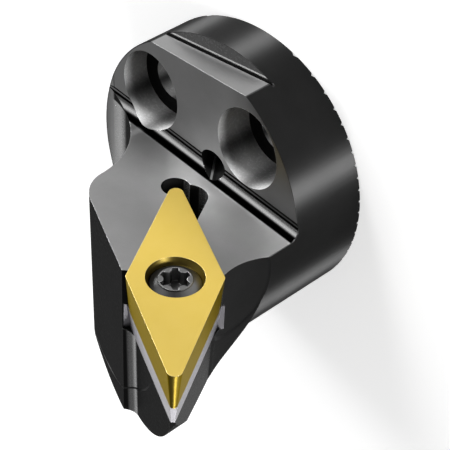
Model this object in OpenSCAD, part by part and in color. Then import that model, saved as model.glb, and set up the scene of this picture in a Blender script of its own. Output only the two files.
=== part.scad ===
// Turning tool holder: a bolt-on head for internal turning, right hand.
// It holds a 35 degree rhombic insert with 5 degree clearance on a carbide shim.
// The origin is the centre of the serrated coupling face, and +Z is the tool axis, towards the cut.
// The insert faces -Y and its nose points to -X and +Z, on centre height.

/* [Turned blank] */
// Diameter of the round body at the coupling
body_d = 32; // [31:0.1:33]
// Height on the axis where the blank starts to flare out under the nose
flare_start = 14.4; // [13:0.1:15]
// Angle of the flare to the tool axis
flare_angle = 20.8; // [18:0.2:22]
// Radius of the eccentric turning that limits the nose, through the cutting tip
nose_turn_r = 17.7; // [17.2:0.1:18.4]

/* [Coupling] */
// Distance of the two upper screw holes from the axis, along X and along Y
screw_offset = 7.85; // [7.6:0.05:8]
// Third screw hole, hidden under the rake land: place along X
third_x = 9.3; // [9.1:0.1:9.6]
// Third screw hole: place along Y
third_y = 6.1; // [6:0.1:6.5]
// Diameter of the screw holes
screw_hole_d = 5.5; // [5.2:0.1:6]
// Diameter of the counterbores for the screw heads
counterbore_d = 9.1; // [8.8:0.1:9.3]
// Height of the screw seats over the coupling face
screw_seat = 3.8; // [3.4:0.1:4.4]
// Pitch of the serrations, which run along X
tooth_pitch = 1.4; // [1.2:0.05:1.8]
// Depth of the serrations
tooth_depth = 0.3; // [0.2:0.05:0.5]
// Full angle of each serration groove
tooth_angle = 60; // [50:5:70]
// Diameter of the coolant inlet in the coupling face
inlet_d = 8; // [7.6:0.1:9]
// Depth of the coolant inlet
inlet_depth = 6; // [5.5:0.1:6.5]

/* [Front face and flat] */
// Height of the front face on the tool axis
face_height = 8.38; // [8:0.02:9]
// Tilt of the front face about Y
face_tilt = 5; // [3:0.5:6]
// Radius in the corner between the front face and the rake land
corner_r = 1.3; // [1:0.05:1.6]
// Depth of the fine undercut where that radius meets the front face
corner_undercut = 0.08; // [0.04:0.01:0.12]
// Distance of the top flat from the tool axis
flat_dist = 14.0; // [13.6:0.05:14.4]
// Height where the top flat ends at its crescent wall
flat_back = 5.12; // [4.8:0.02:5.6]
// Radius of the fine relief at the foot of that wall
flat_relief = 0.2; // [0.1:0.05:0.3]

/* [Nose] */
// Distance of the cutting tip from the tool axis, along X
tip_reach = 22; // [21.5:0.1:22.5]
// Height of the cutting tip over the coupling face
tip_length = 33.8; // [33:0.1:34.5]
// Turn of the whole nose about the tool axis, which tips the rake face
radial_rake = 5.8; // [5:0.1:6.5]
// Distance of the rake land from the tool axis
land_dist = 2.31; // [2:0.05:2.6]
// How far the trailing flank stands out past the insert's cutting edge line
flank_out = 0.02; // [0:0.02:0.3]
// Clearance angle of the trailing flank
flank_clearance = 2.7; // [2:0.1:4]
// Radius of the wing's corner
wing_r = 4.7; // [4:0.1:5]
// Lean of the wing's side and of the scallop beside it
wing_lean = 4.4; // [2:0.1:5]
// Plan radius of the scallop beside the wing
left_scallop_r = 11; // [10.8:0.1:11.2]
// Its centre along X
left_scallop_x = 16.55; // [16.4:0.05:16.8]
// Its centre along Z
left_scallop_z = 17.9; // [17.7:0.1:18.2]
// Plan radius of the scallop on the cutting side
right_scallop_r = 6.93; // [6.7:0.05:7.2]
// Its centre along X
right_scallop_x = -21.5; // [-21.8:0.1:-21.2]
// Its centre along Z
right_scallop_z = 18.1; // [17.8:0.1:18.4]

/* [Insert] */
// Diameter of the insert's inscribed circle
insert_ic = 9.525; // [9:0.005:10]
// Thickness of the insert
insert_t = 4.76; // [4.4:0.02:5.2]
// Radius of the cutting nose
nose_r = 0.8; // [0.4:0.1:1.2]
// Clearance angle of the insert's flanks
insert_clearance = 5; // [3:0.5:6]
// Diameter of the hole in the insert
insert_hole_d = 4.4; // [4.2:0.05:4.6]
// Diameter of the insert's screw seat at its top face
insert_seat_d = 6.1; // [5.9:0.05:6.4]
// Half angle of that conical seat
seat_half_angle = 20; // [18:1:28]

/* [Pocket] */
// Turn of the insert's centre line from the tool axis
insert_turn = 45; // [44:0.5:46]
// Fall of the insert's nose in the pocket
nose_drop = 1.8; // [1:0.1:2.5]
// Side tilt of the insert in the pocket
side_tilt = 1.9; // [1:0.1:2.5]
// Where the pocket walls end, behind the insert's centre
wall_back = 1.1; // [0.8:0.1:1.3]
// Running clearance between the seated pieces
seat_gap = 0.02; // [0.01:0.01:0.04]
// Radius of the relief behind the insert's rear nose
relief_r = 1.6; // [1.5:0.05:1.8]
// Set-back of the relief's centre from that nose
relief_back = 1.2; // [0.9:0.1:1.4]
// Radius of the cutter run-out beside that relief
runout_r = 2; // [1.8:0.05:2.2]
// How far the run-out's centre goes past the insert's centre
runout_end = 13.5; // [13:0.1:14]
// Radius in the corners where the nose meets the pocket walls
nose_fillet = 2.5; // [2:0.1:3]
// Set-back of the nose's sides from the shim's lower edges
nose_inset = 0.06; // [0.02:0.02:0.2]
// Clearance angle of the nose's sides
nose_side_clearance = 1.5; // [1:0.5:5]
// Where the nose's narrow front face lies, ahead of the insert's hole
nose_front = 11.75; // [11.4:0.05:12.4]
// Clearance angle of that front face
nose_front_clearance = 2; // [1:0.5:6]

/* [Shim and screws] */
// Thickness of the shim
shim_t = 3.18; // [3:0.02:3.6]
// Set-back of the shim's front edges from the cutting edge line, at its top
shim_back = 0.45; // [0.42:0.02:0.6]
// Clearance angle of the shim's front edges
shim_clearance = 7; // [6:0.5:9]
// Reach of the shim's nose from its hole, at its bottom
shim_reach = 13.9; // [13.5:0.1:14]
// Clearance angle of the shim's nose
nose_clearance = 15; // [10:1:18]
// Where the shim's ears end, behind its hole
shim_ear_u = 1; // [0.9:0.1:1.2]
// How far the shim's ears stand out past the insert's rear edge line
shim_ear = 0.45; // [0.2:0.05:0.5]
// Outer diameter of the threaded sleeve that holds the shim
sleeve_d = 5; // [4.8:0.1:5.2]
// Depth of the sleeve in the body, under the shim
sleeve_grip = 5.6; // [5:0.1:6]
// Depth of the conical seat for the sleeve's head in the shim
sleeve_seat_h = 0.9; // [0.7:0.1:1.1]
// Depth of the sleeve's top under the shim's top face
sleeve_sink = 0.2; // [0.1:0.05:0.3]
// Width across the flats of the hexagon socket in the sleeve
sleeve_key = 3.9; // [3.8:0.1:4.2]
// Diameter of the insert screw's thread
screw_d = 3.5; // [3:0.1:3.6]
// Diameter of the insert screw's head
screw_head_d = 5.4; // [5.3:0.05:5.6]
// Length from the insert's top face to the end of the insert screw
screw_len = 11.2; // [10:0.2:12]
// Depth of the insert screw's top under the insert's top face
screw_sink = 0.25; // [0.2:0.01:0.6]
// Width of the six-lobe socket
socket_d = 3.3; // [2.9:0.05:3.4]

/* [Coolant outlet] */
// Diameter of the outlet
outlet_d = 2.8; // [2.5:0.1:3]
// Place of the outlet on the front face, along X of the nose
outlet_x = -2.2; // [-2.5:0.1:-1.9]
// Distance of the outlet from the tool axis, over the rake land
outlet_y = 3.75; // [3.5:0.05:3.9]
// How far over the cutting tip the outlet aims
outlet_aim = 2.2; // [1.8:0.1:2.6]

/* [Hidden] */
$fn = 96;
far = 60;
point_angle = 35;
half_point = point_angle / 2;
blank_len = tip_length + 3;
edge_normal = 90 - half_point;
insert_reach = insert_ic / 2 / sin(half_point);
tip_u = insert_reach - nose_r / sin(half_point) + nose_r;
corner_v = insert_ic / 2 / cos(half_point);
tip_x = -tip_reach * cos(radial_rake);
tip_y = -tip_reach * sin(radial_rake);
relief_u = -tip_u - relief_back;
floor_z = -insert_t - shim_t;
insert_low = insert_ic / 2 - insert_t * tan(insert_clearance);
shim_top_dist = insert_ic / 2 - shim_back;
shim_ear_dist = insert_ic / 2 + shim_ear;
floor_wall_u = -wall_back - floor_z * tan(nose_drop);
shim_low_dist = shim_top_dist - shim_t * tan(shim_clearance);
head_gap = 0.03;
overlap = 0.01;
insert_seat_h = (insert_seat_d - insert_hole_d) / 2 / tan(seat_half_angle);

// Frames: the nose is turned about the tool axis, and the insert sits tilted in the nose.
module nose_frame() rotate([0, 0, -radial_rake]) children();

module insert_frame()
    nose_frame()
        translate([tip_x, tip_y, tip_length])
            rotate([90, 0, 0])
                rotate([0, 0, 90 + insert_turn])
                    rotate([side_tilt, nose_drop, 0])
                        translate([-tip_u, 0, 0])
                            children();

// The same without the tilts: its Z is square to the rake land.
module plan_frame()
    nose_frame()
        translate([tip_x, tip_y, tip_length])
            rotate([90, 0, 0])
                rotate([0, 0, 90 + insert_turn])
                    translate([-tip_u, 0, 0])
                        children();

// A plan outline, drawn in X and Z of the nose, cut through the whole height of the head.
module through_plan()
    translate([0, far / 2, 0])
        rotate([90, 0, 0])
            linear_extrude(far)
                children();

// All space past a plane that stands off the insert's centre in the direction turn.
// The plane leans inwards by lean below the height z_ref.
module outside(turn, dist, lean, z_ref = 0)
    rotate([0, 0, turn])
        translate([dist, 0, z_ref])
            rotate([0, lean, 0])
                translate([0, -far, -far])
                    cube(2 * far);

// The turned blank: a short cylinder that flares out under the nose.
// A second turning on an eccentric axis keeps the nose clear of the bore that it works in.
module turned_blank() {
    body_r = body_d / 2;
    flare_r = body_r + (blank_len - flare_start) * tan(flare_angle);
    intersection() {
        rotate_extrude($fn = 180)
            polygon([[0, 0], [body_r, 0], [body_r, flare_start], [flare_r, blank_len], [0, blank_len]]);
        translate([0, 0, -1])
            linear_extrude(blank_len + 2) {
                circle(body_r + 0.05, $fn = 180);
                translate([nose_turn_r - tip_reach, 0]) circle(nose_turn_r, $fn = 180);
            }
    }
}

// Straight grooves across the coupling face.
module serrations() {
    half_w = (tooth_depth + 0.1) * tan(tooth_angle / 2);
    count = floor(body_d / 2 / tooth_pitch);
    for (i = [-count : count - 1])
        translate([-far / 2, (i + 0.5) * tooth_pitch, -0.1])
            rotate([90, 0, 90])
                linear_extrude(far)
                    polygon([[-half_w, 0], [half_w, 0], [0, tooth_depth + 0.1]]);
}

// One coupling screw hole with its counterbore, open to the front.
module screw_hole(x, y) {
    translate([x, y, -1]) cylinder(d = screw_hole_d, h = screw_seat + 2);
    translate([x, y, screw_seat]) cylinder(d = counterbore_d, h = far);
}

// The space in front of the front face and above the rake land, with its corner radius.
module land_cut()
    nose_frame()
        translate([0, 0, face_height])
            rotate([0, face_tilt, 0])
                rotate([90, 0, -90])
                    linear_extrude(2 * far, center = true)
                        mirror([1, 0]) {
                            translate([-far - land_dist - corner_r, 0]) square([far, far]);
                            translate([-far - land_dist, corner_r]) square([far, far]);
                            translate([-land_dist - corner_r, corner_r - corner_undercut])
                                circle(corner_r);
                        }

module top_flat_cut() {
    translate([-far / 2, -flat_dist - far, flat_back]) cube(far);
    translate([0, -flat_dist, flat_back + flat_relief / 2])
        rotate([0, 90, 0]) cylinder(r = flat_relief, h = far, center = true, $fn = 24);
}

module scallops()
    nose_frame() {
        translate([left_scallop_x - left_scallop_r, tip_y, left_scallop_z])
            rotate([0, 0, wing_lean])
                through_plan() {
                    translate([left_scallop_r, 0]) circle(left_scallop_r, $fn = 180);
                    square(far);
                }
        through_plan()
            translate([right_scallop_x, right_scallop_z]) circle(right_scallop_r, $fn = 120);
    }

// The trailing flank in line with the insert's cutting edge, and the round corner of the wing.
module flank_cut()
    plan_frame()
        outside(-edge_normal, insert_ic / 2 + flank_out, flank_clearance);

module wing_corner_cut()
    nose_frame() {
        flank_n = 90 + insert_turn - edge_normal;
        tip_d = tip_x * cos(flank_n) + tip_length * sin(flank_n);
        flank_d = insert_ic / 2 + flank_out - tip_u * cos(edge_normal) + tip_d;
        cx = left_scallop_x - left_scallop_r - wing_r;
        cz = (flank_d - wing_r - cx * cos(flank_n)) / sin(flank_n);
        lean = atan((tan(flank_clearance) - tan(wing_lean) * cos(flank_n)) / sin(flank_n));
        translate([cx, tip_y, cz])
            rotate([-lean, 0, wing_lean])
                through_plan()
                    difference() {
                        intersection() {
                            square(far);
                            rotate(flank_n - 90) square(far);
                        }
                        circle(wing_r);
                    }
    }

// The sides of the nose under the shim, each with a round inner corner at the pocket wall.
module nose_sides_cut()
    insert_frame() {
        lean = atan(tan(nose_side_clearance) / sin(edge_normal));
        for (side = [-1, 1])
            mirror([0, side < 0 ? 1 : 0, 0])
                translate([floor_wall_u, 0, floor_z])
                    rotate([-lean, -nose_drop, 0])
                        linear_extrude(2 * far, center = true)
                            nose_side_2d();
        outside(0, nose_front, nose_front_clearance, floor_z);
    }

// Plan of the cut beside the nose, from the end of the pocket wall.
module nose_side_2d() {
    dist = shim_low_dist - nose_inset - floor_wall_u * cos(edge_normal);
    corner = [0, dist / sin(edge_normal)];
    centre = [nose_fillet, (dist + nose_fillet - nose_fillet * cos(edge_normal)) / sin(edge_normal)];
    difference() {
        polygon([corner, corner + far * [sin(edge_normal), -cos(edge_normal)], [far, far], [0, far]]);
        polygon([corner, [0, centre[1]], centre,
                 centre - nose_fillet * [cos(edge_normal), sin(edge_normal)]]);
    }
    translate(centre) circle(nose_fillet + overlap);
}

// Outline between the two rear walls, at a distance dist from the insert's centre.
module rear_wedge_2d(dist, front_u)
    polygon([[-dist / cos(edge_normal), 0],
             [front_u, -(dist + front_u * cos(edge_normal)) / sin(edge_normal)],
             [front_u, (dist + front_u * cos(edge_normal)) / sin(edge_normal)]]);

// The pocket: inclined walls for the insert, a wider level for the shim, and the reliefs behind them.
module pocket_cut()
    insert_frame() {
        difference() {
            translate([-far, -far, -insert_t]) cube([2 * far, 2 * far, far]);
            for (side = [-1, 1])
                outside(side * (180 - edge_normal), insert_ic / 2 + seat_gap, insert_clearance);
        }
        translate([0, 0, floor_z])
            linear_extrude(shim_t + overlap)
                intersection() {
                    rear_wedge_2d(shim_ear_dist + seat_gap, far / 2);
                    translate([-tip_u, -far / 2]) square(far);
                }
        intersection() {
            outside(0, -wall_back, -nose_drop);
            translate([-far / 2, -far, floor_z]) cube(2 * far);
        }
        translate([relief_u, 0, floor_z]) cylinder(r = relief_r, h = far);
        runout();
    }

// The end mill ran along the inclined left wall and out past the rear corner.
module runout() {
    centre_n = insert_ic / 2 - runout_r;
    difference() {
        translate([0, 0, floor_z])
            linear_extrude(far)
                rotate(-half_point) {
                    translate([-runout_end, -centre_n]) circle(runout_r);
                    translate([-runout_end, -centre_n - runout_r])
                        square([runout_end - wall_back, 2 * runout_r]);
                }
        outside(edge_normal - 180, insert_ic / 2 + seat_gap, insert_clearance);
    }
}

// Threaded hole for the sleeve, with its drill point.
module sleeve_hole()
    insert_frame() {
        depth = sleeve_grip + 0.5;
        translate([0, 0, floor_z - depth]) cylinder(d = sleeve_d + 2 * head_gap, h = depth + 1);
        translate([0, 0, floor_z - depth - sleeve_d / 4])
            cylinder(d1 = 0, d2 = sleeve_d + 2 * head_gap, h = sleeve_d / 4);
    }

module coolant_ways() {
    translate([0, 0, -1]) cylinder(d = inlet_d, h = inlet_depth + 1);
    from = [outlet_x, -outlet_y, face_height - outlet_x * tan(face_tilt)];
    to = [tip_x, tip_y - outlet_aim, tip_length];
    run = to - from;
    nose_frame()
        translate(from)
            rotate([0, acos(run[2] / norm(run)), atan2(run[1], run[0])])
                translate([0, 0, -6]) cylinder(d = outlet_d, h = far);
}

module head_body()
    color("#2c2c2e")
        difference() {
            turned_blank();
            land_cut();
            top_flat_cut();
            scallops();
            flank_cut();
            wing_corner_cut();
            nose_sides_cut();
            pocket_cut();
            sleeve_hole();
            coolant_ways();
            serrations();
            screw_hole(-screw_offset, -screw_offset);
            screw_hole(screw_offset, -screw_offset);
            screw_hole(third_x, third_y);
        }

// One of the insert's corners: a cone whose flank has the clearance angle.
module insert_corner(u, v, r)
    translate([u, v, -insert_t])
        cylinder(r1 = r - insert_t * tan(insert_clearance), r2 = r, h = insert_t, $fn = 48);

module insert() {
    side_r = insert_t * tan(insert_clearance) + 0.05;
    nose_u = insert_reach - nose_r / sin(half_point);
    side_v = corner_v - side_r / cos(half_point);
    color("#e0bf55")
        insert_frame()
            difference() {
                hull()
                    for (side = [-1, 1]) {
                        insert_corner(side * nose_u, 0, nose_r);
                        insert_corner(0, side * side_v, side_r);
                    }
                translate([0, 0, -insert_t - 1]) cylinder(d = insert_hole_d, h = insert_t + 2);
                translate([0, 0, -insert_seat_h])
                    cylinder(d1 = insert_hole_d, d2 = insert_seat_d, h = insert_seat_h);
                translate([0, 0, -0.001]) cylinder(d = insert_seat_d, h = 1);
            }
}

// The shim: wide ears at the pocket walls, front edges set back under the cutting edges.
module shim()
    color("#8e8c91")
        insert_frame()
            difference() {
                translate([0, 0, floor_z])
                    linear_extrude(shim_t)
                        difference() {
                            rear_wedge_2d(shim_ear_dist, shim_reach);
                            translate([relief_u + relief_r - far, -far / 2]) square(far);
                        }
                for (side = [-1, 1])
                    intersection() {
                        outside(side * edge_normal, shim_top_dist, shim_clearance, -insert_t);
                        translate([-shim_ear_u, -far / 2, -far / 2]) cube(far);
                    }
                outside(0, shim_reach - 0.7, nose_clearance, -insert_t);
                translate([0, 0, floor_z - 1]) cylinder(d = sleeve_d + 2 * head_gap, h = shim_t + 2);
                translate([0, 0, -insert_t - sleeve_seat_h])
                    cylinder(d1 = sleeve_d, d2 = sleeve_d + 2 * sleeve_seat_h, h = sleeve_seat_h);
                translate([0, 0, -insert_t - 0.001]) cylinder(d = sleeve_d + 2 * sleeve_seat_h, h = 1);
            }

// The threaded sleeve: its head lies in the shim, and the insert screw goes into its bore.
module shim_screw()
    color("#3a3a3d")
        insert_frame()
            difference() {
                rotate_extrude() {
                    r = sleeve_d / 2;
                    top = -insert_t - sleeve_sink;
                    seat_low = -insert_t - sleeve_seat_h;
                    seat_r = r + sleeve_seat_h - sleeve_sink - head_gap;
                    polygon([[0, floor_z - sleeve_grip], [r - 0.3, floor_z - sleeve_grip],
                             [r, floor_z - sleeve_grip + 0.3], [r, seat_low + head_gap],
                             [seat_r, top], [0, top]]);
                }
                translate([0, 0, floor_z - sleeve_grip - 1])
                    cylinder(d = screw_d + 2 * head_gap, h = sleeve_grip + shim_t + 2);
                translate([0, 0, -insert_t - sleeve_sink - 1.6])
                    rotate([0, 0, 30]) cylinder(d = sleeve_key / cos(30), h = 3, $fn = 6);
            }

// The insert screw: conical head on the insert's seat, raised ring round a six-lobe socket.
module insert_screw() {
    head_r = screw_head_d / 2;
    raise = seat_gap / tan(seat_half_angle);
    head_z = raise - (insert_seat_d - screw_head_d) / 2 / tan(seat_half_angle);
    seat_z = raise - insert_seat_h;
    neck_z = seat_z - 0.6;
    color("#1c1c1e")
        insert_frame()
            difference() {
                rotate_extrude()
                    polygon([[0, -screw_len], [screw_d / 2 - 0.3, -screw_len],
                             [screw_d / 2, -screw_len + 0.3], [screw_d / 2, neck_z],
                             [insert_hole_d / 2, seat_z], [head_r, head_z],
                             [head_r - 0.12, head_z + 0.12], [socket_d / 2 + 0.2, -screw_sink - 0.12],
                             [socket_d / 2 + 0.12, -screw_sink], [0, -screw_sink]]);
                translate([0, 0, -screw_sink - 1.7])
                    linear_extrude(3)
                        six_lobe(socket_d);
            }
}

module six_lobe(d)
    difference() {
        circle(d = d);
        for (k = [0 : 5])
            rotate(k * 60 + 30)
                translate([d * 0.36 + d * 0.16, 0]) circle(d * 0.16, $fn = 32);
    }

head_body();
shim();
shim_screw();
insert();
insert_screw();
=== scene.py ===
# %% [markdown]
# # A cutting head for internal turning
# The object is a short steel head that bolts to the end of a round bar inside a lathe. It carries
# a gold coloured rhombic insert on a grey carbide shim. The shapes come from the imported CAD model
# and stay as they are; this notebook gives them their finishes, the light and the camera.
#
# Part of the look is painted, not mirrored. Several tones below were set to bring this one
# view near the photograph. The steps say where that is so, because a painted reflection stays
# where it is when the camera moves, and a real one doesn't. Tones in the text are greys of 255.

# %% Load the frame
import math

import bpy
from mathutils import Matrix, Vector

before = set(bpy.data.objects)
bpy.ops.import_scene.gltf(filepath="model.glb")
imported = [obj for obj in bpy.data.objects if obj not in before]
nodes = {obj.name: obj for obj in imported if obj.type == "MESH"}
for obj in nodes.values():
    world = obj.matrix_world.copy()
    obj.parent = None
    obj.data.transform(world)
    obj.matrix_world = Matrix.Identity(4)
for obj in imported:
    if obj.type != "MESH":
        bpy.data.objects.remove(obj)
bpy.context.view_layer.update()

MM = 0.001
print("nodes:", sorted(nodes))

# %% [markdown]
# ## The camera
# The picture looks down on the cutting end from the insert's side, and the camera is rolled, so
# that the insert points down in the frame. A rolled view is hard to give as angles, so the
# picture's right and up directions are written out, and the third axis is their cross product.

# %% Camera
CAMERA_PLACE = Vector((-120.45, -111.99, 129.70)) * MM
VIEW_RIGHT = Vector((-0.72136, -0.00113, -0.69256))
VIEW_UP = Vector((0.39373, -0.82335, -0.40875))
LENS = 150.4
SENSOR_WIDTH = 36.0
NEAREST = 0.01

view_back = VIEW_RIGHT.cross(VIEW_UP)
turn = Matrix((VIEW_RIGHT, VIEW_UP, view_back)).transposed().to_4x4()
camera_data = bpy.data.cameras.new("camera")
camera_data.lens = LENS
camera_data.sensor_width = SENSOR_WIDTH
camera_data.clip_start = NEAREST
camera = bpy.data.objects.new("camera", camera_data)
camera.matrix_world = Matrix.Translation(CAMERA_PLACE) @ turn
bpy.context.scene.collection.objects.link(camera)
bpy.context.scene.camera = camera
print("camera distance in mm:", round(CAMERA_PLACE.length / MM, 1))

# %% [markdown]
# ## Shader maths as Python
# A procedural material is a sum of many small formulas. Writing them as node links hides them, so
# one small class wraps a socket and lets Python's own operators add the Math nodes.

# %% The socket class
class Value:
    """A node socket that takes part in Python expressions."""

    def __init__(self, tree, socket):
        self.tree, self.socket = tree, socket

    def node(self, kind, settings=None, inputs=None, output=0):
        """Any other node: its type, its settings first, then values or links for its sockets."""
        made = self.tree.nodes.new(kind)
        for name, value in (settings or {}).items():
            if name == "stops":
                ramp = made.color_ramp
                ramp.interpolation = "EASE"
                while len(ramp.elements) < len(value):
                    ramp.elements.new(0.5)
                for element, (place, colour) in zip(ramp.elements, value):
                    element.position, element.color = place, (*colour, 1.0)
            else:
                setattr(made, name, value)
        for name, value in (inputs or {}).items():
            if isinstance(value, Value):
                self.tree.links.new(value.socket, made.inputs[name])
            else:
                made.inputs[name].default_value = value
        return Value(self.tree, made.outputs[output])

    def math(self, operation, *others, clamp=False):
        inputs = {0: self, **{i + 1: other for i, other in enumerate(others)}}
        return self.node("ShaderNodeMath", {"operation": operation, "use_clamp": clamp}, inputs)

    def __add__(self, other): return self.math("ADD", other)
    def __sub__(self, other): return self.math("SUBTRACT", other)
    def __mul__(self, other): return self.math("MULTIPLY", other)
    def __truediv__(self, other): return self.math("DIVIDE", other)
    def __pow__(self, other): return self.math("POWER", other)
    def __neg__(self): return self.math("MULTIPLY", -1.0)
    __radd__ = __add__
    __rmul__ = __mul__
    def __rsub__(self, other): return self._from(other).math("SUBTRACT", self)
    def __rtruediv__(self, other): return self._from(other).math("DIVIDE", self)
    def __rpow__(self, other): return self._from(other).math("POWER", self)

    def _from(self, number):
        return self.node("ShaderNodeMath", {"operation": "ADD"}, {0: number, 1: 0.0})

    def clamp(self): return self.math("ADD", 0.0, clamp=True)
    def abs(self): return self.math("ABSOLUTE")
    def sine(self): return self.math("SINE")

    def step(self, low, high, first=0.0, last=1.0):
        """A soft step from first to last while this value goes from low to high."""
        return self.node("ShaderNodeMapRange", {"interpolation_type": "SMOOTHSTEP"},
                         {"Value": self, "From Min": low, "From Max": high,
                          "To Min": first, "To Max": last})

    def below(self, low, high):
        """1 under low, falling softly to 0 at high."""
        return self.step(low, high, 1.0, 0.0)

    def near_zero(self, full, none):
        """1 while this value is within full of zero, fading to 0 at none."""
        return self.abs().below(full, none)

    def dot(self, direction):
        """The dot product of this vector with a direction given as three numbers."""
        return self.node("ShaderNodeVectorMath", {"operation": "DOT_PRODUCT"},
                         {0: self, 1: tuple(direction)}, output="Value")

    def split(self):
        made = self.tree.nodes.new("ShaderNodeSeparateXYZ")
        self.tree.links.new(self.socket, made.inputs[0])
        return [Value(self.tree, out) for out in made.outputs]


# %% [markdown]
# ## A blank material
# Every finish starts from the same bench: the place on the object in millimetres, the direction
# of its surface, and one Principled shader. Lengths in millimetres make the numbers below easy to
# compare with a drawing.

# %% Material bench
BEVEL_SAMPLES = 6


class Finish:
    """One material under construction, with the inputs that all of them share."""

    def __init__(self, name):
        self.material = bpy.data.materials.new(name)
        self.material.use_nodes = True
        self.tree = self.material.node_tree
        self.shader = self.tree.nodes["Principled BSDF"]
        coordinates = self.tree.nodes.new("ShaderNodeTexCoord")
        geometry = self.tree.nodes.new("ShaderNodeNewGeometry")
        metres = Value(self.tree, coordinates.outputs["Object"])
        self.place = metres.node("ShaderNodeVectorMath", {"operation": "SCALE"},
                                 {0: metres, "Scale": 1 / MM})
        self.x, self.y, self.z = self.place.split()
        self.normal = Value(self.tree, geometry.outputs["Normal"])

    def noise(self, scale, detail=2.0, stretch=(1, 1, 1), roughness=0.5):
        """Smooth noise from 0 to 1, with scale in features per millimetre."""
        at = self.place.node("ShaderNodeVectorMath", {"operation": "MULTIPLY"},
                             {0: self.place, 1: stretch})
        return at.node("ShaderNodeTexNoise", None,
                       {"Vector": at, "Scale": scale, "Detail": detail, "Roughness": roughness})

    def mix(self, share, first, second, kind="MIX"):
        """A colour between two, by a share from 0 to 1."""
        made = self.tree.nodes.new("ShaderNodeMix")
        made.data_type, made.blend_type = "RGBA", kind
        for index, value in ((0, share), (6, first), (7, second)):
            if isinstance(value, Value):
                self.tree.links.new(value.socket, made.inputs[index])
            elif isinstance(value, tuple):
                made.inputs[index].default_value = (*value, 1.0)
            else:
                made.inputs[index].default_value = value
        return Value(self.tree, made.outputs[2])

    def grey(self, value):
        return value.node("ShaderNodeCombineColor", None, {0: value, 1: value, 2: value})

    def soft_normal(self, radius):
        """The surface direction, rounded over edges by a radius in millimetres."""
        return self.place.node("ShaderNodeBevel", {"samples": BEVEL_SAMPLES},
                               {"Radius": radius * MM})

    def edges(self, radius, low=0.02, high=0.25):
        """Where the surface turns sharply within radius millimetres: 0 on faces, 1 on edges."""
        soft = self.soft_normal(radius)
        near = soft.node("ShaderNodeVectorMath", {"operation": "DOT_PRODUCT"},
                         {0: soft, 1: self.normal}, output="Value")
        return (1 - near).step(low, high)

    def bump(self, height, strength, distance=0.01, rounding=0.06):
        """Surface relief over softly rounded edges, distance in millimetres."""
        made = self.place.node("ShaderNodeBump", None,
                               {"Strength": strength, "Distance": distance * MM,
                                "Height": height, "Normal": self.soft_normal(rounding)})
        self.set("Normal", made)

    def set(self, name, value):
        if isinstance(value, Value):
            self.tree.links.new(value.socket, self.shader.inputs[name])
        elif isinstance(value, tuple):
            self.shader.inputs[name].default_value = (*value, 1.0)
        else:
            self.shader.inputs[name].default_value = value

    def second(self, share):
        """A second shader, shown where share is 1; what is set from here on goes to it."""
        other = self.tree.nodes.new("ShaderNodeBsdfPrincipled")
        mixer = self.tree.nodes.new("ShaderNodeMixShader")
        output = self.tree.nodes["Material Output"]
        self.tree.links.new(share.socket, mixer.inputs[0])
        self.tree.links.new(self.shader.outputs[0], mixer.inputs[1])
        self.tree.links.new(other.outputs[0], mixer.inputs[2])
        self.tree.links.new(mixer.outputs[0], output.inputs["Surface"])
        self.shader = other

    def give(self, node):
        piece = nodes[node]
        piece.data.materials.clear()
        piece.data.materials.append(self.material)
        print(self.material.name, "on", node)


# %% [markdown]
# ## Black oxide steel: the ground faces
# The head is milled from a turned blank and blackened. The ground faces, which are the rake land,
# the front face and the top flat, keep a light satin sheen, and the turned and milled flanks are
# darker. One material covers the whole node, so the finish asks where on the head it is: each
# ground face is a plane, and a distance from that plane in millimetres finds it.

# %% Ground faces
RADIAL_RAKE = math.radians(5.8)
FACE_TILT = math.radians(5)
LAND = Vector((-math.sin(RADIAL_RAKE), -math.cos(RADIAL_RAKE), 0))
LAND_DIST = 2.31
FACE = Vector((math.sin(FACE_TILT) * math.cos(RADIAL_RAKE),
               -math.sin(FACE_TILT) * math.sin(RADIAL_RAKE),
               math.cos(FACE_TILT)))
FACE_DIST = 8.38 * math.cos(FACE_TILT)
FLAT = (0, -1, 0)
FLAT_DIST = 14.0

steel = Finish("black_oxide_steel")
facing = steel.normal


def on_plane(direction, distance):
    """1 on a plane of the head, given by its direction and its distance from the origin."""
    near = (steel.place.dot(direction) - distance).near_zero(0.05, 0.12)
    return near * facing.dot(direction).step(0.995, 0.999)


land = on_plane(LAND, LAND_DIST)
flat = on_plane(FLAT, FLAT_DIST)
face = on_plane(FACE, FACE_DIST)
ground = (land + flat + face).clamp()
print("ground faces, distance from the origin in mm:",
      LAND_DIST, FLAT_DIST, round(FACE_DIST, 2))

# %% [markdown]
# ## Black oxide steel: the bores
# The photograph shows light and dark streaks on the walls of the counterbores, which look like
# reflections of the studio. Under one plain tone the lamps here give little more than a smooth fall
# of light, so the streaks are painted: a colour ramp with listed stops follows the angle round the
# bore's axis. They are a rough likeness only. Measured, they are 34 off the photograph on average,
# and a plain tone of 0.35 only 28. A wall is found by its distance from the axis.

# %% Bores
SCREW_PLACES = ((-7.85, -7.85), (7.85, -7.85), (9.3, 6.1))
BORE_R = 4.55
HOLE_R = 2.75
AXIS = (0, 0, 1)
QUARTER_TURN = 0.25
STREAKS = [(share, (tone, tone, tone)) for share, tone in
           ((0.08, 0.1), (0.26, 0.6), (0.33, 0.1), (0.43, 1.0),
            (0.5, 0.25), (0.57, 0.6), (0.75, 0.1))]


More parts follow.
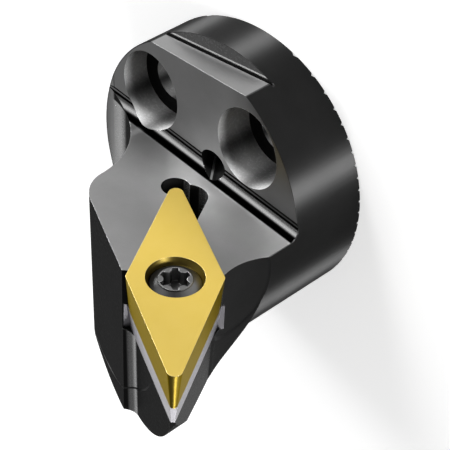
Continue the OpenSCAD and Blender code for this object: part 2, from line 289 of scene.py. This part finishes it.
def bore_wall(x, y, r):
    """1 on the wall of a bore along the tool axis, and the same wall with its painted streaks."""
    across, along = steel.x - x, steel.y - y
    distance = (across ** 2 + along ** 2) ** 0.5
    upright = facing.dot(AXIS).abs().below(0.1, 0.5)
    wall = (distance - r).near_zero(0.08, 0.2) * upright
    turns = along.math("ARCTAN2", across) * (0.5 / math.pi) + QUARTER_TURN
    turned_by = turns.math("FRACT")
    streaks = turned_by.node("ShaderNodeValToRGB", {"stops": STREAKS}, {"Fac": turned_by})
    return wall, wall * streaks


plain, bores = 1.0, 0.0
for x, y in SCREW_PLACES:
    for r in (BORE_R, HOLE_R):
        wall, tone = bore_wall(x, y, r)
        plain, bores = plain - wall, bores + tone
outside = plain.clamp()
print("bore walls:", 2 * len(SCREW_PLACES))

# %% [markdown]
# ## Black oxide steel: corners and small faces
# Between the big faces the cutter leaves narrow bands: the rounded corner between the rake land
# and the front face, the flute beside the shim, the step behind the top flat with its lip and
# the side of the nose. Each of them points its own way, so the dot product of the surface
# direction with one fixed direction picks it out, and a soft step gives it a soft border. Several
# of them carry painted light: a painted highlight on the rounded corner, painted shade beside it
# and on its rim, a painted sheen in the flute and a painted highlight on the lip. How light each
# band is was set to come near the photograph.

# %% Corners
GLINT_WAY = (0.0, -0.54, 0.84)
SHADE_WAY = (-0.07, -0.93, 0.36)
RIM_WAY = (0.07, -0.18, 0.98)
SIDE_WAY = (-0.86, 0.08, -0.5)
SHEEN_WAY = (0.1, 0.03, 0.995)
OFF_FLAT_Y, SHOULDER_Y, LIP_Y = (-13.6, -13.2), (-14.0, -13.9), -14.3
FLUTE_Z = (5.6, 6.2)

off_flat = steel.y.step(*OFF_FLAT_Y)
above_land = (steel.place.dot(LAND) - LAND_DIST).below(-0.1, 0.05)
# painted highlight on the rounded corner
painted_glint = facing.dot(GLINT_WAY).step(0.93, 0.99) * off_flat
# painted shade along the rim of the rounded corner
painted_rim_shade = facing.dot(RIM_WAY).step(0.985, 0.996) * (1 - ground) * off_flat
# painted shade beside the rounded corner, together with its rim
painted_shade = (facing.dot(SHADE_WAY).step(0.93, 0.99) + painted_rim_shade).clamp()
side = facing.dot(SIDE_WAY).step(0.975, 0.995)
# painted sheen in the flute beside the shim
painted_sheen = (facing.dot(SHEEN_WAY).step(0.935, 0.99) * (1 - ground)
         * steel.z.step(*FLUTE_Z) * above_land)
shoulder = facing.dot(AXIS).step(0.98, 0.995) * steel.y.below(*SHOULDER_Y)
# painted highlight along the lip
painted_lip = shoulder * (steel.y - LIP_Y).near_zero(0.08, 0.16)
bright = (ground * outside + painted_glint + painted_sheen * 0.8 + side * 0.2 + shoulder * 0.4 + painted_lip).clamp()
print("corner bands: glint, rim, shade, side, sheen, shoulder, lip")

# %% [markdown]
# ## Black oxide steel: colour, wear and relief
# Blackening is a thin oxide that follows the steel below it. It goes a little cloudy in the bath,
# and handling rubs it grey on sharp edges first. How much of the surface mirrors the room is set
# by the metallic share, because bare ground steel mirrors and the oxide in a milled flank doesn't.
#
# Two slopes in the tone are painted light. Towards -X the front face comes out too light, 88
# against
# 77, because it mirrors the land: with a black land it is 49. So painted shade lowers its tone
# there. Near the front face the land comes out too dark, 94 against 142, so a painted highlight
# raises its tone there. The cause of that one wasn't found.

# %% Colour and relief
BASE_TONE = 0.009
LAND_TONE, PAINTED_LAND_RISE = 0.18, 0.32
FACE_TONE, PAINTED_FACE_FALL = 0.195, 0.145
FLAT_TONE, BORE_TONE, WEAR_TONE = 0.23, 0.7, 0.1
SHOULDER_TONE, PAINTED_GLINT_TONE, PAINTED_SHEEN_TONE, PAINTED_LIP_TONE = 0.08, 0.16, 0.2, 0.6
LEAST_METAL = 0.035
RISE_Z, RISE_X, FALL_X = (9.0, 20.0), (-2.0, 8.0), (-11.5, -4.0)

cloud = steel.noise(0.35, 3.0)
grain = steel.noise(9.0, 3.0)
fine = steel.noise(3.0, 2.0, roughness=0.6)
clouding = 0.88 + cloud * 0.24
wear = (steel.edges(0.1) * (0.4 + fine * 0.6)).clamp()

# painted highlight on the land near the front face, and painted shade on the front face towards -X
painted_land_light = steel.z.below(*RISE_Z) * steel.x.below(*RISE_X)
painted_face_shade = steel.x.step(*FALL_X, PAINTED_FACE_FALL, 0.0)
faces = land * (LAND_TONE + painted_land_light * PAINTED_LAND_RISE) + flat * FLAT_TONE + face * (FACE_TONE - painted_face_shade)
level = BASE_TONE + faces * outside + bores * BORE_TONE
# painted highlights on the rounded corner, in the flute and on the lip
level = level + shoulder * SHOULDER_TONE + painted_glint * PAINTED_GLINT_TONE + painted_sheen * PAINTED_SHEEN_TONE + painted_lip * PAINTED_LIP_TONE
level = level * clouding * (0.95 + grain * 0.1)
# painted shade darkens the band beside the rounded corner and its rim
level = (level + wear * outside * WEAR_TONE) * (1 - painted_shade)

steel.set("Base Color", steel.grey(level))
steel.set("Metallic", LEAST_METAL + bright * (1 - LEAST_METAL) + wear * 0.2
          + (1 - outside) * 0.15)
steel.set("Specular IOR Level", 0.0)
steel.set("Roughness", 0.24 + ground * 0.14 + fine * 0.06)
steel.bump((grain * 0.5 + fine * 0.2) * (1 - painted_sheen * 0.8), 0.3, distance=0.006)
print("steel tones: base", BASE_TONE, "land", LAND_TONE, "face", FACE_TONE, "flat", FLAT_TONE)

# %% [markdown]
# ## Black oxide steel: the turned body
# The round body was turned on a lathe. The tool's feed marks run round it, and such fine parallel
# grooves spread a reflection across them: a lamp becomes a long band along the body. A second
# shader with full anisotropy does that, shown only on the cylinder of the body's radius. These
# bands aren't painted: they are rendered reflections of the lamps and move with the camera.

# %% Turned body
BODY_R = 16.0
TURNED_TONE = 0.035
FEED = 0.16

radius = (steel.x ** 2 + steel.y ** 2) ** 0.5
turned = (radius - BODY_R).near_zero(0.05, 0.15)
steel.second(turned)
steel.set("Base Color", steel.grey((TURNED_TONE + wear * 0.05) * clouding))
steel.set("Metallic", 1.0)
steel.set("Roughness", 0.44 + fine * 0.04)
steel.set("Specular Tint", (0.4, 0.4, 0.4))
steel.set("Anisotropic", 1.0)
steel.set("Anisotropic Rotation", QUARTER_TURN)
feed_marks = (steel.z * (2 * math.pi / FEED)).sine()
steel.bump(grain * 0.4 + feed_marks * 0.3, 0.15, distance=0.004)
steel.give("head_body")

# %% [markdown]
# ## Carbide shim
# The shim is sintered and ground carbide: a mid grey, finer grained than steel. The
# right third of it in the picture comes out too light, 163 against 119, so painted shade darkens
# the tip and the flank that faces right. That brings it to 132.

# %% Carbide finish
CARBIDE_GREY = (0.31, 0.3, 0.323)
NOSE_WAY = (-0.7, 0.07, 0.7)
RIGHT_WAY = (-0.866, 0.188, -0.463)
TIP_X = (-11.0, -9.0)

carbide = Finish("ground_carbide")
cloud = carbide.noise(0.8, 3.0)
grain = carbide.noise(12.0, 2.0)
lines = carbide.noise(6.0, 1.0, stretch=(0.15, 1, 0.15))
wear = carbide.edges(0.08).clamp()
painted_tip_shade = carbide.normal.dot(NOSE_WAY).step(0.6, 0.95) * carbide.x.below(*TIP_X)
painted_right_shade = carbide.normal.dot(RIGHT_WAY).step(0.9, 0.99)
tone = 0.86 + cloud * 0.2 + lines * 0.08
# painted shade on the tip and on the flank that faces right
tone = tone * (0.92 - painted_tip_shade * 0.6 - painted_right_shade * 0.3) + wear * 0.35
carbide.set("Base Color", carbide.mix(1.0, carbide.grey(tone), CARBIDE_GREY, "MULTIPLY"))
carbide.set("Metallic", 1.0)
carbide.set("Roughness", 0.34 + grain * 0.1)
carbide.bump(grain * 0.6 + lines * 0.4, 0.3, distance=0.003)
carbide.give("shim")

# %% [markdown]
# ## Gold coating
# The insert's coating is a few thousandths of a millimetre of hard nitride over ground carbide. It
# copies the grinding marks below it, so the colour is even and the relief is fine. To come near the
# photograph, painted shade darkens the flanks and the screw seat against the top, a painted
# highlight takes back a little of it on the nose's flank, and painted shade lowers the whole tone
# a little towards the nose.

# %% Gold finish
GOLD_DEEP, GOLD_PALE = (0.545, 0.4, 0.085), (0.58, 0.43, 0.107)
WORN_GOLD = (0.93, 0.82, 0.5)
GOLD_GRAZING = (0.85, 0.7, 0.3)
PAINTED_FLANK_SHARE, PAINTED_NOSE_LIFT, PAINTED_END_SHARE = 0.22, 0.12, 0.8
NOSE_Z, LENGTH_Z = (28.5, 30.0), (20.0, 32.0)

gold = Finish("gold_coating")
cloud = gold.noise(0.5, 3.0)
grain = gold.noise(14.0, 2.0)
wear = gold.edges(0.1).clamp()
rake = Vector((0.08, -0.995, 0.03)).normalized()
nose = Vector(NOSE_WAY).normalized()
# painted shade on the flanks and screw seat, a painted highlight on the nose's flank, painted shade
# towards the nose
painted_flank_shade = gold.normal.dot(rake).step(0.6, 0.97, PAINTED_FLANK_SHARE, 1.0)
painted_nose_highlight = gold.normal.dot(nose).step(0.35, 0.9, 0.0, PAINTED_NOSE_LIFT) * gold.z.step(*NOSE_Z)
painted_length_shade = gold.z.step(*LENGTH_Z, 1.0, PAINTED_END_SHARE)
colour = gold.mix(cloud, GOLD_DEEP, GOLD_PALE)
colour = gold.mix(1.0, colour, gold.grey((painted_flank_shade + painted_nose_highlight) * painted_length_shade), "MULTIPLY")
gold.set("Base Color", gold.mix(wear * 0.4, colour, WORN_GOLD))
gold.set("Metallic", 1.0)
gold.set("Specular Tint", GOLD_GRAZING)
gold.set("Roughness", 0.33 + grain * 0.1)
gold.bump(grain, 0.25, distance=0.003, rounding=0.05)
gold.give("insert")

# %% [markdown]
# ## Blackened screws
# The insert screw is a small blackened screw, rubbed light on the edge of its six-lobe socket. The
# lamps here light its left side more than its right, 88 against 64, where the photograph has 50
# and 71. So what faces right is painted lighter, the other side darker and the socket's walls
# lighter, which gives 67 and 81. It is still the piece that matches the photograph least.

# %% Screw finish
LIGHT_SIDE_WAY = (-0.25, -0.58, -0.77)
SCREW_AXIS = (0.1, 0.995, 0.0)

black = Finish("blackened_screw")
grain = black.noise(10.0, 3.0)
wear = black.edges(0.1, 0.03, 0.3).clamp()
side_share = black.normal.dot(LIGHT_SIDE_WAY).step(0.0, 0.95, 0.25, 2.0)
socket_wall = black.normal.dot(SCREW_AXIS).abs().below(0.1, 0.4)
tone = (0.07 + grain * 0.03 + wear * 0.3) * side_share + socket_wall * 0.2
black.set("Base Color", black.grey(tone))
black.set("Specular Tint", (0.35, 0.35, 0.35))
black.set("Metallic", 1.0)
black.set("Roughness", 0.3 + grain * 0.12)
black.bump(grain, 0.3, distance=0.003)
black.give("insert_screw")
black.give("shim_screw")

# %% [markdown]
# ## Floor
# A pale matt floor carries the head and fills the picture behind it. It gives off a little light of
# its own, like paper lit from behind, so that it stays near white and the shadow stays pale.

# %% Floor
FLOOR_R = 1.6
FLOOR_SIDES = 96
FLOOR_Z = -0.00002
FLOOR_GLOW = 0.34

angles = [2 * math.pi * i / FLOOR_SIDES for i in range(FLOOR_SIDES)]
ring = [(FLOOR_R * math.cos(a), FLOOR_R * math.sin(a), FLOOR_Z) for a in angles]
floor_mesh = bpy.data.meshes.new("floor")
floor_mesh.from_pydata(ring, [], [tuple(range(FLOOR_SIDES))])
floor = bpy.data.objects.new("floor", floor_mesh)
bpy.context.scene.collection.objects.link(floor)
paper = Finish("pale_floor")
paper.set("Base Color", (0.93, 0.93, 0.93))
paper.set("Roughness", 0.9)
paper.set("Emission Color", (1.0, 1.0, 1.0))
paper.set("Emission Strength", FLOOR_GLOW)
paper.set("Specular IOR Level", 0.1)
floor.data.materials.append(paper.material)
print("floor radius in m:", FLOOR_R)

# %% [markdown]
# ## Lamps
# Four soft disks stand low round the head. Each one makes one light band on the turned body, and
# its azimuth was worked out from the place of that band in the photograph: the band lies between
# the lamp and the camera, near the middle.

# %% Lamps
HEAD_CENTRE = Vector((-0.003, 0.0, 0.015))
LAMP_ELEVATION = 7
LAMP_DISTANCE = 0.84
LAMP_SIZE = 0.22
# name, azimuth in degrees, power in watts
LAMPS = (("left_strip", 182, 9.0), ("far_strip", 108, 6.5),
         ("front_strip", -70, 6.7), ("right_strip", -26, 6.7))


def around(azimuth, elevation, distance):
    """A place in metres, at an azimuth and elevation seen from the head."""
    a, e = math.radians(azimuth), math.radians(elevation)
    return Vector((math.cos(a) * math.cos(e), math.sin(a) * math.cos(e), math.sin(e))) * distance


def soft_lamp(name, place, aim, size, power):
    """A round soft lamp at a place in metres, facing the point aim."""
    data = bpy.data.lights.new(name, "AREA")
    data.shape, data.size, data.energy = "DISK", size, power
    lamp = bpy.data.objects.new(name, data)
    lamp.location = place
    lamp.rotation_euler = (aim - place).to_track_quat("-Z", "Y").to_euler()
    bpy.context.scene.collection.objects.link(lamp)
    print(name, "power in W:", power)


for name, azimuth, power in LAMPS:
    place = around(azimuth, LAMP_ELEVATION, LAMP_DISTANCE)
    soft_lamp(name, place, HEAD_CENTRE, LAMP_SIZE, power)

# %% [markdown]
# ## World
# The world is a dim soft dome with two lights in it. The wide soft box makes the bright line on the
# rounded corner, which falls from 167 to 79 without it, and lifts the insert's top by 12. The
# smaller window lights the scallop at the left of the picture and lifts the front face by 13 to 18.
# It adds nothing to the corner's line.

# %% World
SKY_LOW, SKY_HIGH = 0.22, 0.25
SKY_HEIGHT = (-0.05, 0.6)
SOFTBOX_LIGHT, WINDOW_LIGHT = 2.6, 1.2
# azimuth and elevation in degrees, then the cosines between which the light sets in
SOFTBOX_AT, SOFTBOX_EDGE = (-46, 36), (0.88, 0.98)
WINDOW_AT, WINDOW_EDGE = (34, 10), (0.955, 0.997)

world = bpy.data.worlds.new("studio")
bpy.context.scene.world = world
world.use_nodes = True
sky_tree = world.node_tree
background = sky_tree.nodes["Background"]
direction = Value(sky_tree, sky_tree.nodes.new("ShaderNodeTexCoord").outputs["Generated"])
height = direction.split()[2]
softbox = direction.dot(around(*SOFTBOX_AT, 1.0)).step(*SOFTBOX_EDGE)
window = direction.dot(around(*WINDOW_AT, 1.0)).step(*WINDOW_EDGE)
sky = height.step(*SKY_HEIGHT, SKY_LOW, SKY_HIGH)
sky = sky + softbox * SOFTBOX_LIGHT + window * WINDOW_LIGHT
sky_tree.links.new(sky.node("ShaderNodeCombineColor", None, {0: sky, 1: sky, 2: sky}).socket,
                   background.inputs["Color"])
background.inputs["Strength"].default_value = 1.0
bpy.context.scene.view_settings.view_transform = "Standard"
print("world: softbox", SOFTBOX_LIGHT, "window", WINDOW_LIGHT)
